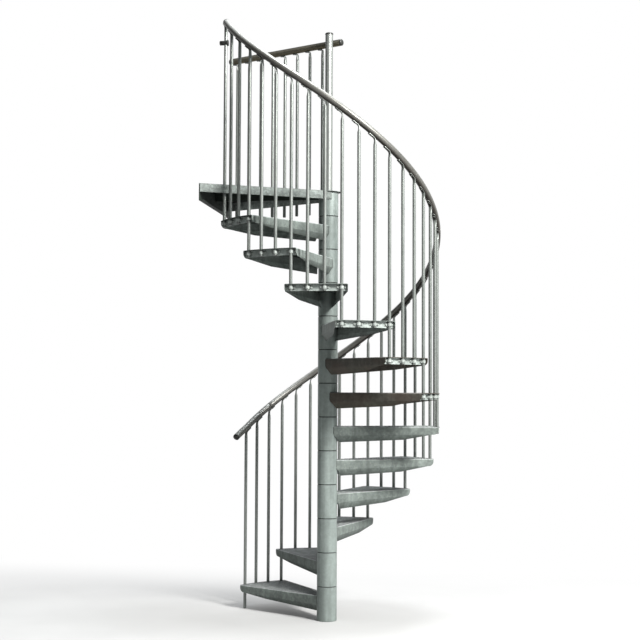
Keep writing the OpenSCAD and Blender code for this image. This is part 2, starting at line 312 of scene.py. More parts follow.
def dome(radius, height):
    """End cap of a tube along +Z: a rim with a fine groove behind it, then a rounded crown."""
    lip = 0.0009
    profile = [(radius - lip, -0.0004), (radius - lip, 0.0005), (radius, 0.0012), (radius, 0.35 * height)]
    for step in range(1, 9):
        a = math.radians(90 * step / 8)
        profile.append((
            max(radius * math.cos(a), 0.0004),
            0.35 * height + 0.65 * height * math.sin(a),
        ))
    return lathe(profile, 40)


# ---- Materials ----

class Nodes:
    """Builds a material's or world's node tree in short calls."""

    def __init__(self, owner):
        owner.use_nodes = True
        self.tree = owner.node_tree
        self.tree.nodes.clear()

    def new(self, kind, inputs=None, **settings):
        node = self.tree.nodes.new(kind)
        for name, value in settings.items():
            setattr(node, name, value)
        for name, value in (inputs or {}).items():
            if isinstance(value, bpy.types.NodeSocket):
                self.tree.links.new(value, node.inputs[name])
            else:
                node.inputs[name].default_value = value
        return node

    def mix(self, factor, a, b, blend="MIX"):
        """Colour mix. factor, a and b are sockets or plain values."""
        inputs = {0: factor, 6: a, 7: b}
        return self.new("ShaderNodeMix", inputs, data_type="RGBA", blend_type=blend).outputs[2]

    def range(self, value, low, high, to_low=0.0, to_high=1.0):
        """Smooth step from to_low to to_high as the value goes from low to high."""
        inputs = {"Value": value, "From Min": low, "From Max": high, "To Min": to_low, "To Max": to_high}
        return self.new("ShaderNodeMapRange", inputs, interpolation_type="SMOOTHSTEP").outputs["Result"]

    def math(self, operation, a, b):
        return self.new("ShaderNodeMath", {0: a, 1: b}, operation=operation).outputs[0]

    def noise(self, place, scale, detail=3.0, stretch=(1, 1, 1)):
        vector = self.new("ShaderNodeMapping", {"Vector": place, "Scale": stretch}).outputs["Vector"]
        inputs = {"Vector": vector, "Scale": scale, "Detail": detail}
        return self.new("ShaderNodeTexNoise", inputs).outputs[0]


def galvanised(name, side, top, painted_under_shade, metallic, rough, spangle=0.14, mottle=1.0, streak=1.0,
               painted_edge_highlight=1.0, painted_reflection=None, painted_reflection_amount=0.0, pits=1.0, gloss=0.5):
    """Weathered hot-dip zinc: spangle, mottled patches, streaks, fine speckle, and darker undersides as
    painted shade.

    side, top and painted_under_shade are the colours of upright faces, faces that look up and faces that
    look down. The under colour is painted shade, and the top colour paints how light falls on faces that
    look up.
    spangle, mottle, streak and pits are the strengths of the flakes, patches, streaks and speckle.
    painted_edge_highlight is how much lighter a rounded upper edge is painted than the faces beside it: a
    painted highlight on the bend.
    gloss is the shader's specular level.
    """
    material = bpy.data.materials.new(name)
    n = Nodes(material)
    place = n.new("ShaderNodeTexCoord").outputs["Object"]
    normal = n.new("ShaderNodeNewGeometry").outputs["Normal"]
    facing = n.new("ShaderNodeSeparateXYZ", {0: normal}).outputs["Z"]

    # Painted light and shade by facing: faces that look up take the top colour, faces that look down the
    # darker painted shade.
    colour = n.mix(n.range(facing, 0.25, 0.85), (*side, 1), (*top, 1))
    colour = n.mix(n.range(facing, -0.15, -0.75), colour, (*painted_under_shade, 1))

    flakes = n.new("ShaderNodeTexVoronoi", {"Vector": place, "Scale": 75.0, "Randomness": 1.0})
    flake = n.new("ShaderNodeSeparateColor", {0: flakes.outputs["Color"]}).outputs[0]
    patches = n.noise(place, 7.0, 5.0)
    blotches = n.noise(place, 26.0, 4.0)
    streaks = n.noise(place, 30.0, 3.0, (1.0, 1.0, 0.06))
    speckle = n.noise(place, 420.0, 2.0)

    def tone(colour, value, low, high, dark, light):
        shade = n.range(value, low, high, dark, light)
        grey = n.new("ShaderNodeCombineColor", {0: shade, 1: shade, 2: shade}).outputs[0]
        return n.mix(1.0, colour, grey, "MULTIPLY")

    colour = tone(colour, flake, 0.0, 1.0, 1 - spangle, 1 + spangle)
    colour = tone(colour, patches, 0.32, 0.68, 1 - 0.20 * mottle, 1 + 0.16 * mottle)
    colour = tone(colour, blotches, 0.35, 0.65, 1 - 0.10 * mottle, 1 + 0.08 * mottle)
    colour = tone(colour, streaks, 0.35, 0.65, 1 - 0.12 * streak, 1 + 0.08 * streak)
    colour = tone(colour, speckle, 0.30, 0.70, 1 - 0.22 * pits, 1 + 0.12 * pits)
    # Painted highlight: rounded upper edges made lighter, as light catching the bends.
    if painted_edge_highlight > 1.0:
        edge = n.math("MULTIPLY", n.range(facing, 0.12, 0.35), n.range(facing, 0.97, 0.80))
        colour = tone(colour, edge, 0.0, 1.0, 1.0, painted_edge_highlight)
    # Painted reflection: patches of warm brown, as dark faces reflecting brown surroundings.
    if painted_reflection:
        spread = n.noise(place, 5.0, 6.0, (1.0, 1.0, 2.2))
        painted_reflection_mask = n.range(spread, 0.40, 0.62, 0.35 * painted_reflection_amount, painted_reflection_amount)
        colour = n.mix(painted_reflection_mask, colour, (*painted_reflection, 1))

    roughness = n.math("ADD", n.range(patches, 0.3, 0.7, rough - 0.08 * mottle, rough + 0.08 * mottle),
                       n.range(flake, 0.0, 1.0, -0.4 * spangle, 0.4 * spangle))
    height = n.math("ADD", n.math("MULTIPLY", speckle, 0.5), n.math("MULTIPLY", blotches, 1.2 * mottle))
    height = n.math("ADD", height, n.math("MULTIPLY", flake, 1.5 * spangle))
    bump = n.new("ShaderNodeBump", {"Strength": 0.30, "Distance": 0.0005, "Height": height})
    shader = n.new("ShaderNodeBsdfPrincipled", {
        "Base Color": colour, "Roughness": roughness, "Metallic": metallic, "Normal": bump.outputs["Normal"],
        "Specular IOR Level": gloss,
    })
    n.new("ShaderNodeOutputMaterial", {"Surface": shader.outputs[0]})
    return material


def painted_shade_material(name, colour, rough):
    """Near-black painted shade for places in shadow, such as grooves and the spots of the pips, with a faint
    grain.
    """
    material = bpy.data.materials.new(name)
    n = Nodes(material)
    place = n.new("ShaderNodeTexCoord").outputs["Object"]
    grain = n.noise(place, 260.0, 3.0)
    shade = n.range(grain, 0.3, 0.7, 0.8, 1.2)
    factor = n.new("ShaderNodeCombineColor", {0: shade, 1: shade, 2: shade}).outputs[0]
    bump = n.new("ShaderNodeBump", {"Strength": 0.25, "Distance": 0.0004, "Height": grain})
    shader = n.new("ShaderNodeBsdfPrincipled", {
        "Base Color": n.mix(1.0, (*colour, 1), factor, "MULTIPLY"),
        "Roughness": n.range(grain, 0.3, 0.7, rough - 0.08, rough + 0.08),
        "Metallic": 0.0, "Normal": bump.outputs["Normal"],
    })
    n.new("ShaderNodeOutputMaterial", {"Surface": shader.outputs[0]})
    return material


# The under colour of every material below is painted shade.
TREAD_ZINC = galvanised("tread_zinc", (0.150, 0.172, 0.160), (0.185, 0.190, 0.194), (0.014, 0.019, 0.016),
                        0.04, 0.62, mottle=0.7, painted_edge_highlight=1.9, gloss=0.16)
# Treads 7 and 8: darker sides painted as shade, with patches of warm brown painted as reflection.
PAINTED_SHADE_ZINC = galvanised("painted_shade_zinc", (0.076, 0.076, 0.066), (0.160, 0.160, 0.160),
                          (0.042, 0.044, 0.028), 0.04, 0.62, mottle=0.7, painted_edge_highlight=1.6,
                          painted_reflection=(0.070, 0.050, 0.040), painted_reflection_amount=0.5, gloss=0.14)
STRIP_ZINC = galvanised("strip_zinc", (0.300, 0.335, 0.318), (0.280, 0.305, 0.292), (0.040, 0.046, 0.041),
                        0.15, 0.52, spangle=0.10, mottle=0.5, gloss=0.3)
LANDING_ZINC = galvanised("landing_zinc", (0.185, 0.207, 0.196), (0.190, 0.200, 0.197),
                          (0.007, 0.010, 0.008), 0.04, 0.62, spangle=0.26, mottle=0.8, gloss=0.10)
# Near-black sides: painted shade on the landing's beam and rib.
BEAM_ZINC = galvanised("beam_zinc", (0.026, 0.033, 0.028), (0.120, 0.128, 0.122), (0.010, 0.013, 0.011),
                       0.03, 0.66, spangle=0.14, mottle=0.8, gloss=0.10)
COLUMN_ZINC = galvanised("column_zinc", (0.205, 0.236, 0.224), (0.170, 0.190, 0.181), (0.020, 0.024, 0.021),
                         0.22, 0.50, spangle=0.05, mottle=0.35, streak=1.1, pits=0.4, gloss=0.25)
BALUSTER_ZINC = galvanised("baluster_zinc", (0.190, 0.204, 0.194), (0.210, 0.220, 0.210),
                           (0.022, 0.022, 0.018), 0.45, 0.38, spangle=0.03, mottle=0.25, streak=0.4,
                           pits=0.25, gloss=0.35)
# Tops much lighter than sides: a painted highlight, with a faint painted brown reflection in patches.
RAIL_ZINC = galvanised("rail_zinc", (0.125, 0.124, 0.115), (0.420, 0.428, 0.415), (0.024, 0.021, 0.017),
                       0.45, 0.36, spangle=0.03, mottle=0.3, streak=0.3, painted_reflection=(0.090, 0.066, 0.050),
                       painted_reflection_amount=0.06, pits=0.25, gloss=0.4)
# Top darker than the sides: painted shade; the olive-brown under colour is a painted reflection.
GUARD_ZINC = galvanised("guard_zinc", (0.090, 0.084, 0.066), (0.018, 0.018, 0.016), (0.085, 0.072, 0.044),
                        0.25, 0.45, spangle=0.03, mottle=0.3, streak=0.3, pits=0.25, gloss=0.3)
NEWEL_ZINC = galvanised("newel_zinc", (0.215, 0.226, 0.218), (0.260, 0.270, 0.260), (0.022, 0.022, 0.018),
                        0.45, 0.38, spangle=0.03, mottle=0.25, streak=0.4, pits=0.25, gloss=0.35)
CLAMP_ZINC = galvanised("clamp_zinc", (0.340, 0.370, 0.352), (0.190, 0.200, 0.192), (0.012, 0.014, 0.012),
                        0.25, 0.45, spangle=0.06, mottle=0.4, gloss=0.35)
WELD_ZINC = galvanised("weld_zinc", (0.110, 0.124, 0.115), (0.130, 0.140, 0.132), (0.016, 0.019, 0.016),
                       0.10, 0.58, spangle=0.08, mottle=0.5, gloss=0.2)
CAP_DARK = galvanised("cap_dark", (0.026, 0.027, 0.025), (0.060, 0.062, 0.059), (0.010, 0.010, 0.009),
                      0.20, 0.42, spangle=0.03, mottle=0.4, pits=0.4, gloss=0.35)
SHADOW = painted_shade_material("shadow_steel", (0.012, 0.014, 0.012), 0.7)


def make(name, shape, materials, nodes=()):
    """Turns a shape into a mesh object that rides on the stair and stands for the given CAD nodes."""
    mesh = bpy.data.meshes.new(name)
    mesh.from_pydata([tuple(p) for p in shape.points], [], [face for face, _ in shape.faces])
    mesh.polygons.foreach_set("material_index", [m for _, m in shape.faces])
    for material in materials:
        mesh.materials.append(material)
    work = bmesh.new()
    work.from_mesh(mesh)
    bmesh.ops.recalc_face_normals(work, faces=work.faces)
    work.to_mesh(mesh)
    work.free()
    mesh.shade_smooth()
    mesh.set_sharp_from_angle(angle=math.radians(SHARP_ANGLE))
    piece = bpy.data.objects.new(name, mesh)
    bpy.context.scene.collection.objects.link(piece)
    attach(piece, "root")
    if nodes:
        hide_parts(*nodes)
    return piece


def dress(name, material):
    """Gives a carried-over CAD node its material."""
    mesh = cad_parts[name].data
    mesh.materials.clear()
    mesh.materials.append(material)


# ---- Column ----

def sleeve(bottom, top, lower_edge=EASE):
    """Hub sleeve with eased outer edges, as a closed tube."""
    inner = HUB_R - HUB_WALL
    return lathe([
        (inner, bottom), (HUB_R - lower_edge, bottom), (HUB_R, bottom + lower_edge),
        (HUB_R, top - EASE), (HUB_R - EASE, top), (inner, top),
    ], 96, loop=True)


def build_column():
    foot_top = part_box("foot_plate")[1].z
    foot = lathe([(HUB_R - 0.003, 0), (HUB_R - 0.0009, 0.0009), (HUB_R, 0.003), (HUB_R, foot_top)], 96)
    make("foot", foot, [COLUMN_ZINC], ["foot_plate"])

    sleeves = Shape()
    bottom = foot_top
    for k, top_of_tread in enumerate(TREAD_TOPS):
        seam = top_of_tread + HUB_ABOVE_TREAD
        sleeves.put(sleeve(bottom, seam - GROOVE / 2, 0.0001 if k == 0 else EASE))
        bottom = seam + GROOVE / 2
    make("sleeves", sleeves, [COLUMN_ZINC], ["hub_sleeves"])
    make("landing_sleeve", sleeve(bottom, LANDING_Z - SHEET), [COLUMN_ZINC], ["landing_hub"])
    # Spacers in the grooves between sleeves take the painted shade.
    dress("hub_spacers", SHADOW)

    pole = lathe([(POLE_R - 0.0005, foot_top), (POLE_R, foot_top + 0.0005), (POLE_R, NEWEL_TOP - 0.010),
                  (POLE_R - 0.001, NEWEL_TOP - 0.009)], 64)
    make("newel", pole, [NEWEL_ZINC], ["centre_pole"])
    cap_h = 0.015
    cap = dome(POLE_R + 0.0016, cap_h)
    make("newel_cap", Shape().put(cap, moved(0, 0, NEWEL_TOP - cap_h)), [CAP_DARK], ["pole_cap"])


# ---- Treads ----

def edge_depth(u):
    """Depth of a side flange's fold line at distance u along it."""
    return FOLD_DEPTH - (FOLD_DEPTH - TIP_DEPTH) * (u - HUB_RUN) / (TIP_END - CORNER_R - HUB_RUN)


def flange_depth(u, upper):
    """Depth of a side flange at distance u along it, down to its fold or its edge."""
    depth = edge_depth(u)
    past = u - (TIP_END - CORNER_R)
    if past > 0:
        depth = min(depth, TIP_DEPTH - CORNER_R + math.sqrt(max(0.0, CORNER_R ** 2 - past ** 2)))
    return min(depth, END_DEPTH + (u - HUB_RUN) / END_SLOPE) if upper else depth


def fold_table(upper):
    """Distances along a flange and the width there of the strip folded inwards under it."""
    outer = [(TIP_END - KNEE_RUN, UPPER_WIDTH if upper else LOWER_WIDTH), (TIP_END - FOLD_END, 0.0)]
    if upper:
        return [(FOLD_START, 0.0), (FOLD_START + END_SLOPE * FOLD_WIDTH, FOLD_WIDTH), *outer]
    return [(0.0, FOLD_WIDTH), *outer]


def fold_width(u, upper):
    table = fold_table(upper)
    for (u0, w0), (u1, w1) in zip(table, table[1:]):
        if u0 <= u <= u1:
            return w0 + (w1 - w0) * (u - u0) / (u1 - u0)
    return 0.0


def flange_section(u, upper):
    """Closed section of the sheet's edge, nosing, flange and fold, as (sideways, height) pairs."""
    depth = flange_depth(u, upper)
    width = fold_width(u, upper)
    lean = math.radians(FOLD_ANGLE * min(1.0, width / 0.004))
    side = SIDE_OFFSET
    outer = [(side - NOSING_R, 0.0)]
    inner = [(side - NOSING_R, -SHEET)]
    for step in range(1, 6):
        a = math.radians(90 - 18 * step)
        for skin, r in ((outer, NOSING_R), (inner, NOSING_R - SHEET)):
            skin.append((side - NOSING_R + r * math.cos(a), -NOSING_R + r * math.sin(a)))
    bend = min(0.003, 0.3 * depth)
    outer.append((side, -depth + bend))
    inner.append((side - SHEET, -depth + bend))
    outer.append((side - 0.5 * bend * math.sin(0.4 * lean), -depth + 0.45 * bend))
    inner.append((side - SHEET, -depth + 0.6 * bend))
    tip = (side - width * math.sin(lean), -depth - width * math.cos(lean))
    outer.append(tip)
    inner.append((tip[0] - SHEET * math.cos(lean), tip[1] + SHEET * math.sin(lean)))
    return outer + inner[::-1]


def side_flange(upper):
    """Flange on the side of +Y. The lower one meets the hub all the way, the upper one slopes off it."""
    first = HUB_RUN - 0.001 if upper else HUB_RUN + 0.020
    stops = {u for u, _ in fold_table(upper) if u > first} | {first, TIP_END - CORNER_R}
    stops.update(FOLD_START + END_SLOPE * FOLD_WIDTH + 0.03 * i for i in range(1, 20))
    stops.update(TIP_END - CORNER_R * (1 - math.sin(math.radians(a))) for a in range(10, 91, 10))
    if upper:
        stops.add(FOLD_START - SHEET)
    kept = [u for u in sorted(stops) if u <= TIP_END + 1e-6]
    rings = [[Vector((u, y, z)) for y, z in flange_section(u, upper)] for u in kept]
    if not upper:
        section = flange_section(HUB_RUN, upper)
        rings.insert(0, [Vector((math.sqrt(WELD_R ** 2 - y ** 2), y, z)) for y, z in section])
    return Shape().put(loft(rings), turned(SIDE_ANGLE))


def mirrored(shape):
    return Shape().put(shape, Matrix.Diagonal((1, -1, 1, 1)))


def side_corner(radius):
    """Where the sheet's flat part meets the nosing at a radius, on the side of +Y."""
    y = SIDE_OFFSET - NOSING_R
    return turned(SIDE_ANGLE) @ Vector((math.sqrt(radius ** 2 - y ** 2), y, 0))


def sheet_loops():
    """Outline of the flat part of a tread's sheet, and its baluster bores."""
    inner_corner = side_corner(HUB_R - 0.001)
    outer_corner = side_corner(TREAD_R)
    inner_half = math.atan2(inner_corner.y, inner_corner.x)
    outer_half = math.atan2(outer_corner.y, outer_corner.x)
    outline = []
    for radius, half, count, way in ((HUB_R - 0.001, inner_half, 16, 1), (TREAD_R, outer_half, 48, -1)):
        for i in range(count + 1):
            a = way * half * (2 * i / count - 1)
            outline.append(Vector((radius * math.cos(a), radius * math.sin(a))))
    bores = []
    for i in range(PER_TREAD + 1):
        centre = bore_centre(i)
        bores.append([
            Vector((centre.x + BORE_R * math.cos(a), centre.y + BORE_R * math.sin(a)))
            for a in (2 * math.pi * s / 24 for s in range(24))
        ])
    return outline, bores


def bore_centre(i):
    a = math.radians((i - PER_TREAD / 2) * STEP_TURN)
    return Vector((BALUSTER_R * math.cos(a), BALUSTER_R * math.sin(a)))


def flat_sheet(outline, holes, hole_centres, hole_r):
    """Plate of the sheet's thickness below height 0, with round holes."""
    points = []
    edges = []
    for loop in [outline, *holes]:
        first = len(points)
        points.extend(loop)
        edges.extend((first + i, first + (i + 1) % len(loop)) for i in range(len(loop)))
    verts, _, faces, _, _, _ = delaunay_2d_cdt(points, edges, [], 1, 1e-7)
    kept = []
    for face in faces:
        centre = sum((verts[i] for i in face), Vector((0, 0))) / len(face)
        if all((centre - c).length > 0.97 * hole_r for c in hole_centres):
            kept.append(tuple(face))
    count = len(verts)
    shape = Shape().add(
        [(v.x, v.y, 0) for v in verts] + [(v.x, v.y, -SHEET) for v in verts],
        kept + [tuple(count + i for i in reversed(face)) for face in kept],
    )
    directed = {(face[i], face[(i + 1) % len(face)]) for face in kept for i in range(len(face))}
    walls = [(b, a, count + a, count + b) for a, b in directed if (b, a) not in directed]
    shape.faces.extend((wall, 0) for wall in walls)
    return shape


PIP_GAP = 0.019
PIP_R = 0.0050
PIP_H = 0.0014
PIP_SIDES = 7
# Room that the pips leave along each edge, the baluster bores, and the column's collar on the landing
PIP_SIDE_ROOM = 0.018
PIP_HUB_ROOM = 0.016
PIP_FRONT_ROOM = 0.016
PIP_BACK_ROOM = 0.012
PIP_STRIP_ROOM = 0.012
PIP_EXIT_ROOM = 0.014
PIP_POST_ROOM = 0.024
PIP_COLLAR_R = 0.095


def pip():
    """Pressed anti-slip pip: a low raised collar round a small spot of painted shade, with no underside."""
    profile = ((PIP_R, -0.0002), (0.78 * PIP_R, PIP_H), (0.66 * PIP_R, PIP_H), (0.56 * PIP_R, 0.0002))
    shape = loft([ring(r, z, PIP_SIDES) for r, z in profile])
    walls = shape.faces[:-2]
    floor = shape.faces[-1][0]
    shape.faces = [(face, 1 if min(face) >= 3 * PIP_SIDES else 0) for face, _ in walls] + [(floor, 1)]
    return shape


def pips_where(inside, x_range, y_range):
    """Staggered rows of pips over the places that the test accepts."""
    shape = Shape()
    one = pip()
    row_gap = PIP_GAP * math.sqrt(3) / 2
    rows = int((y_range[1] - y_range[0]) / row_gap)
    columns = int((x_range[1] - x_range[0]) / PIP_GAP)
    for row in range(rows + 1):
        for column in range(columns + 1):
            x = x_range[0] + (column + 0.5 * (row % 2)) * PIP_GAP
            y = y_range[0] + row * row_gap
            if inside(x, y):
                shape.put(one, moved(x, y, 0))
    return shape


def on_tread(x, y):
    """Whether a pip fits at a place on a tread's sheet."""
    a = math.radians(SIDE_ANGLE)
    room = min(
        SIDE_OFFSET - (math.cos(a) * way * y - math.sin(a) * x) for way in (1, -1)
    )
    return room > PIP_SIDE_ROOM and HUB_R + PIP_HUB_ROOM < math.hypot(x, y) < STRIP_R - PIP_STRIP_ROOM


def end_strip():
    """Strip across the tread's outer end, behind the balusters."""
    half = math.degrees(math.asin((SIDE_OFFSET - SHEET) / STRIP_R)) + SIDE_ANGLE
    inner = STRIP_R - SHEET
    edge = 0.0006
    section = (
        (inner, -SHEET / 2), (inner, -STRIP_H + edge), (inner + edge, -STRIP_H),
        (STRIP_R - edge, -STRIP_H), (STRIP_R, -STRIP_H + edge), (STRIP_R, -SHEET / 2),
    )
    rings = []
    for i in range(25):
        a = math.radians(half * (2 * i / 24 - 1))
        along = Vector((math.cos(a), math.sin(a), 0))
        rings.append([along * r + Vector((0, 0, z)) for r, z in section])
    return loft(rings, material=2)


def tread_welds(seed):
    """Beads round the hub: along the sheet's top and down each side flange."""
    half = math.degrees(math.asin((SIDE_OFFSET - 0.002) / WELD_R)) + SIDE_ANGLE
    r = HUB_R + EASE
    path = []
    for i in range(49):
        a = math.radians(half * (2 * i / 48 - 1))
        path.append(Vector((r * math.cos(a), r * math.sin(a), 0.0006)))
    shape = bead(path, 0.0024, Vector((0, 0, 1)), seed)
    for upper, depth in ((True, END_DEPTH), (False, FOLD_DEPTH)):
        down = []
        for i in range(21):
            z = -0.003 - (depth - 0.004) * i / 20
            down.append(Vector((HUB_RUN + 0.0008, SIDE_OFFSET + 0.0004, z)))
        side = Shape().put(bead(down, WELD_BEAD_R, Vector((1, 0, 0)), seed + 5), turned(SIDE_ANGLE))
        shape.put(mirrored(side) if upper else side)
    return shape


def build_treads():
    outline, bores = sheet_loops()
    pan = flat_sheet(outline, bores, [bore_centre(i) for i in range(PER_TREAD + 1)], BORE_R)
    pan.put(side_flange(False)).put(mirrored(side_flange(True))).put(end_strip())
    pan.put(pips_where(on_tread, (0.080, STRIP_R), (-0.22, 0.22)))
    welds = Shape()
    for k, node in enumerate(TREAD_NODES, 1):
        place = moved(0, 0, TREAD_TOPS[k - 1]) @ turned(tread_angle(k))
        # Treads 7 and 8 take the painted shade and painted brown reflection.
        zinc = PAINTED_SHADE_ZINC if k in PAINTED_SHADE_TREADS else TREAD_ZINC
        make(f"pan_{k:02d}", Shape().put(pan, place), [zinc, SHADOW, STRIP_ZINC], [node])
        welds.put(tread_welds(k), place)
    make("hub_welds", welds, [WELD_ZINC])


# ---- Balusters and clamps ----

def flat_ring(centre, across, above, wide, thick, power, sides=20):
    """Section between a circle (power 2) and a flattened tube (power 4)."""
    points = []
    for s in range(sides):
        a = 2 * math.pi * s / sides
        c, d = math.cos(a), math.sin(a)
        u = math.copysign(abs(c) ** (2 / power), c)
        v = math.copysign(abs(d) ** (2 / power), d)
        points.append(centre + across * (wide * u) + above * (thick * v))
    return points


def baluster(bottom, top, pitch):
    """Round bar up to a rail at height top, its end pressed flat and bent along the rail's underside.

    The rail climbs at the pitch towards -X.
    """
    p = math.radians(pitch)
    seat = RAIL_R + FIT + TAB_T / 2
    along = Vector((-math.cos(p), 0, math.sin(p)))
    normal = Vector((math.sin(p), 0, math.cos(p)))
    centre = Vector((0, 0, top))
    corner = centre - Vector((0, 0, seat / math.cos(p)))
    end_s = TAB_L - TAB_W / 2
    end = centre + along * end_s - normal * seat
    r = BALUSTER_D / 2
    wide = PRESSED_HALF_W
    path = [(Vector((0, 0, bottom)), r - EASE, r - EASE, 2), (Vector((0, 0, bottom + EASE)), r, r, 2)]
    below = corner - Vector((0, 0, TAB_BEND))
    for step in range(7):
        t = step / 6
        press = t * t * (3 - 2 * t) * PRESS_SHARE
        path.append((
            below - Vector((0, 0, PRESS_RUN * (1 - t))),
            r + (wide - r) * press, r + (TAB_T / 2 - r) * press, 2 + 2 * press,
        ))
    beyond = corner + along * TAB_BEND
    for step in range(1, 8):
        t = step / 7
        point = below * (1 - t) ** 2 + corner * (2 * t * (1 - t)) + beyond * t ** 2
        press = PRESS_SHARE + 0.15 * t
        path.append((point, wide, r + (TAB_T / 2 - r) * press, 2 + 2 * press))
    straight = (end - beyond).length
    for step in range(1, 9):
        t = math.sin(math.radians(90 * step / 8))
        gone = straight - wide + wide * t
        round_off = math.sqrt(max(0.0, 1 - t * t)) if step < 8 else 0.25
        path.append((beyond + along * gone, wide * max(round_off, 0.25), TAB_T / 2, 4))
    rings = []
    across = Vector((0, 1, 0))
    for i, (point, w, t, power) in enumerate(path):
        tangent = (path[min(i + 1, len(path) - 1)][0] - path[max(i - 1, 0)][0]).normalized()
        rings.append(flat_ring(point, across, across.cross(tangent), w, t, power))
    shape = loft(rings)
    screw_at = centre + along * (0.42 * end_s) - normal * (seat + TAB_T / 2)
    screw = Matrix.Translation(screw_at) @ turned(180 + pitch, "Y")
    return shape.put(pan_screw(0.0052, 0.0034), screw)


def saddle_clamp():
    """Pressed saddle round a baluster at the origin, its feet bolted to a face that looks along +X."""
    foot_x = -BALUSTER_D / 2 + SHEET / 2
    arch = BORE_R + SHEET / 2
    path = [Vector((foot_x, -CLAMP_L / 2, 0)), Vector((foot_x, -arch - 0.004, 0)),
            Vector((foot_x + 0.0012, -arch - 0.0012, 0)), Vector((foot_x + 0.004, -arch, 0))]
    for step in range(13):
        a = math.radians(-90 + 15 * step)
        path.append(Vector((arch * math.cos(a), arch * math.sin(a), 0)))
    path += [Vector((p.x, -p.y, 0)) for p in reversed(path[:4])]
    shape = sweep(path, rounded_box(SHEET, CLAMP_H, BEVEL, 1), Vector((0, 0, 1)))
    for way in (1, -1):
        place = moved(-BALUSTER_D / 2 + SHEET, way * CLAMP_BOLT_OUT, 0) @ turned(90, "Y") @ turned(11 * way)
        shape.put(hex_bolt(0.0055, 0.0040), place)
    return shape


def build_balusters():
    groups = (("balusters_lower", 0, LAST // 3), ("balusters_middle", LAST // 3 + 1, 2 * LAST // 3),
              ("balusters_upper", 2 * LAST // 3 + 1, LAST))
    for node, first, last in groups:
        shape = Shape()
        for j in range(first, last + 1):
            bottom = 0.0 if j == 0 else TREAD_TOPS[(j - 1) // PER_TREAD] - STRIP_H
            place = turned(baluster_angle(j)) @ moved(BALUSTER_R, 0, 0) @ turned(90)
            shape.put(baluster(bottom, rail_z(j * STEP_TURN), RAIL_PITCH), place)
        make(node.replace("balusters", "bars"), shape, [BALUSTER_ZINC], [node])

    clamp = saddle_clamp()
    clamps = Shape()
    for k in range(1, TREADS + 1):
        for i in range(PER_TREAD + 1):
            turn = tread_angle(k) + (i - PER_TREAD / 2) * STEP_TURN
            place = moved(0, 0, TREAD_TOPS[k - 1] - CLAMP_DROP) @ turned(turn) @ moved(BALUSTER_R, 0, 0)
            clamps.put(clamp, place)
    make("saddles", clamps, [CLAMP_ZINC], ["baluster_clamps"])

    bars = Shape()
    guard_saddles = Shape()
    bar_shape = baluster(LANDING_Z - GUARD_DROP, GUARD_Z, 0)
    for i in range(GUARD_COUNT):
        out = GUARD_FIRST + i * GUARD_GAP
        bars.put(bar_shape, on_guard(out, 0) @ turned(180))
        guard_saddles.put(clamp, on_guard(out, LANDING_Z - BACK_H / 2) @ turned(-90))
    make("guard_bars", bars, [BALUSTER_ZINC], ["guard_balusters"])
    make("guard_saddles", guard_saddles, [CLAMP_ZINC], ["guard_clamps"])


def on_guard(out, height):
    """Place on the guard's line at a distance out from the column."""
    return turned(180 - LANDING_ANGLE) @ moved(out, -GUARD_OFFSET, height)


# ---- Rails ----

def rail_ring(turn, radius, sides=36):
    """Section of the handrail at a turn, square to its run."""
    a = math.radians(baluster_angle(0) - turn)
    pitch = math.radians(RAIL_PITCH)
    points = []
    for s in range(sides):
        b = 2 * math.pi * s / sides
        r = BALUSTER_R + radius * math.cos(b)
        up = radius * math.sin(b)
        back = up * math.sin(pitch)
        points.append(Vector((
            r * math.cos(a) - back * math.sin(a),
            r * math.sin(a) + back * math.cos(a),
            rail_z(turn) + up * math.cos(pitch),
        )))
    return points


def rail_length(start, end):
    """One length of handrail with eased ends."""
    ease = math.degrees(0.0008 * math.cos(math.radians(RAIL_PITCH)) / BALUSTER_R)
    stops = max(2, math.ceil((end - start) / RAIL_SECTION_TURN))
    rings = [rail_ring(start, RAIL_R - 0.0009), rail_ring(start + ease * 0.4, RAIL_R - 0.0003)]
    for i in range(stops + 1):
        rings.append(rail_ring(start + ease + (end - start - 2 * ease) * i / stops, RAIL_R))
    rings += [rail_ring(end - ease * 0.4, RAIL_R - 0.0003), rail_ring(end, RAIL_R - 0.0009)]
    return loft(rings)


def build_rails():
    seam = math.degrees(SEAM * math.cos(math.radians(RAIL_PITCH)) / BALUSTER_R)
    first_seam = 2 * STEP_TURN
    count = len(RAIL_NODES)
    for i, node in enumerate(RAIL_NODES, 1):
        start = -RAIL_LEAD if i == 1 else first_seam + (i - 2) * RAIL_STEP * STEP_TURN + seam / 2
        end = RAIL_END if i == count else first_seam + (i - 1) * RAIL_STEP * STEP_TURN - seam / 2
        make(f"rail_{i:02d}", rail_length(start, end), [RAIL_ZINC], [node])

    caps = Shape()
    for turn, way in ((-RAIL_LEAD, -1), (RAIL_END, 1)):
        place = turned(baluster_angle(0) - turn) @ moved(BALUSTER_R, 0, rail_z(turn))
        place = place @ turned(90 * way - RAIL_PITCH, "X") @ moved(0, 0, FIT)
        caps.put(dome(RAIL_R, RAIL_CAP_T), place)
    make("rail_ends", caps, [CAP_DARK], ["handrail_caps"])

    length = GUARD_END - RAIL_CAP_T + GUARD_OVER
    edge = 0.0008
    tube = lathe([(RAIL_R - edge, 0), (RAIL_R, edge), (RAIL_R, length - edge), (RAIL_R - edge, length)], 48)
    tube = Shape().put(tube, on_guard(-GUARD_OVER, GUARD_Z) @ turned(90, "Y"))
    make("guard_tube", tube, [GUARD_ZINC], ["guard_rail"])
    ends = Shape()
    ends.put(dome(RAIL_R, RAIL_CAP_T), on_guard(-GUARD_OVER - FIT, GUARD_Z) @ turned(-90, "Y"))
    outer_cap = dome(RAIL_R - 0.0004, RAIL_CAP_T - 0.0015)
    ends.put(outer_cap, on_guard(GUARD_END - RAIL_CAP_T + FIT, GUARD_Z) @ turned(90, "Y"))
    make("guard_ends", ends, [CAP_DARK], ["guard_rail_caps"])


